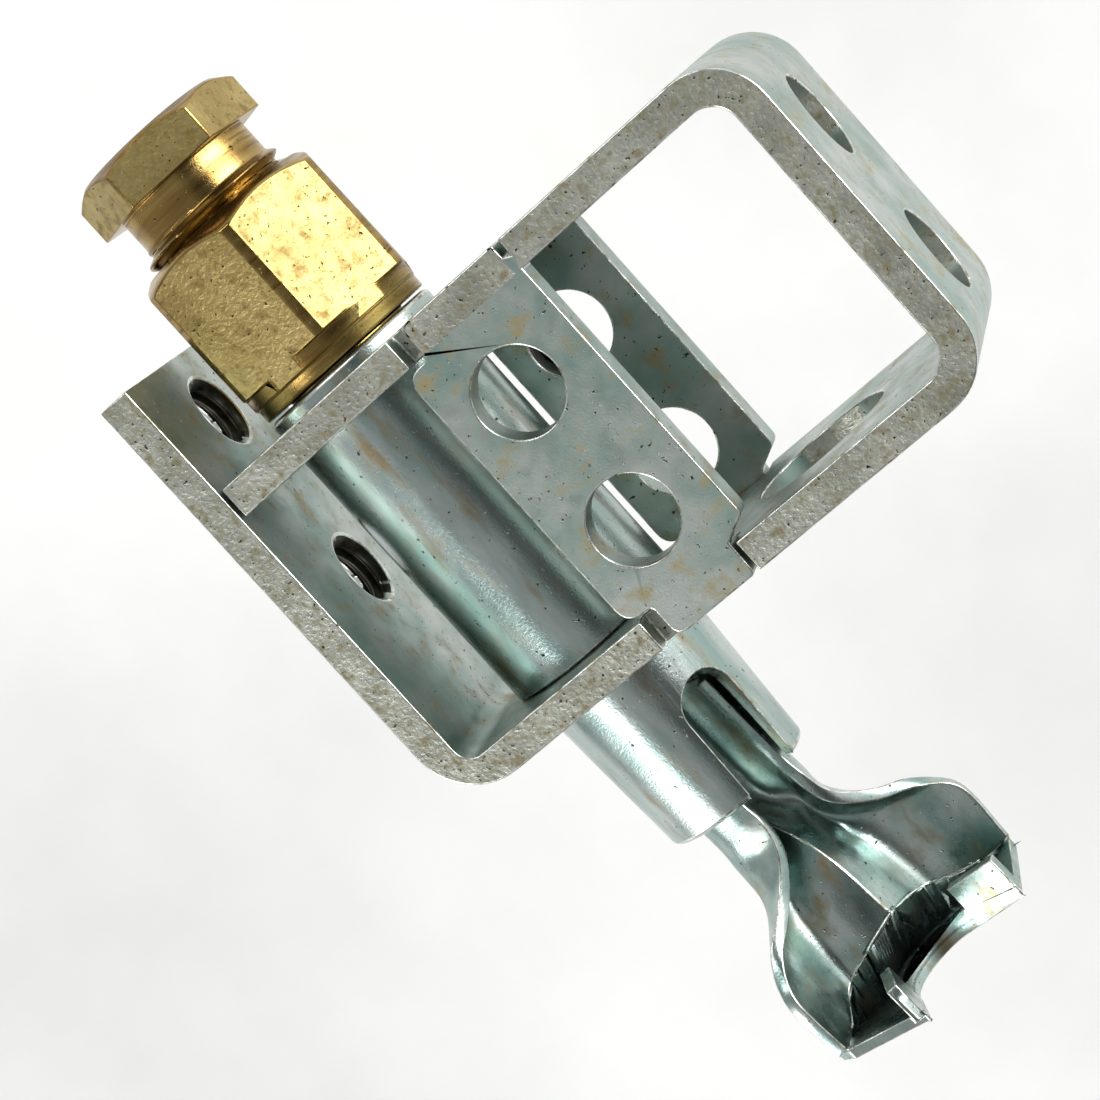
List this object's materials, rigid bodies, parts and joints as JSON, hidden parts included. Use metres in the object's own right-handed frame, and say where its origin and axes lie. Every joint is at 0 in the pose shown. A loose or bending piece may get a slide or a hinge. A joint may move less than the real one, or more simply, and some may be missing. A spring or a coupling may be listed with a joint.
{
  "type": "gas pilot burner",
  "caption": "Gas pilot burner: bent zinc-plated bracket with a slotted burner tube, a pressed flame hood and a brass compression inlet.",
  "frame": {"origin": "outer face of the mounting wall, midway between its two tapped holes and midway across the strip", "axes": "X from the mounting wall to the loop's end wall, Y along the burner axis towards the inlet nut, Z across the strip"},
  "size_m": [0.0433, 0.0726, 0.019],
  "materials": {
    "bracket_zinc": "zinc-plated steel strip, sheared and bent, lightly stained",
    "tube_zinc": "zinc-plated steel tube, turned and slotted",
    "hood_zinc": "pressed zinc-plated steel sheet",
    "body_brass": "brass hexagon bar, turned, with a dull oxidised skin",
    "nut_brass": "turned brass, as machined"
  },
  "bodies": {
    "burner": {"mounting_bracket": "bracket_zinc", "burner_tube": "tube_zinc", "flame_hood": "hood_zinc", "inlet_body": "body_brass", "orifice_spud": "nut_brass"},
    "ferrule": {"ferrule": "nut_brass"},
    "nut": {"compression_nut": "nut_brass"}
  },
  "joints": [
    {"name": "ferrule_slide", "type": "slide", "parent": "burner", "child": "ferrule", "axis": [0, 1, 0], "range_m": [-0.0019, 0.0043]},
    {"name": "nut_turn", "type": "hinge", "parent": "ferrule", "child": "nut", "pos_m": [0.011, 0.0204, 0], "axis": [0, 1, 0], "range_deg": [-630, 1440]}
  ],
  "couplings": [
    {"joint": "ferrule_slide", "follows": "nut_turn", "m_per_rad": 0.00016844}
  ]
}
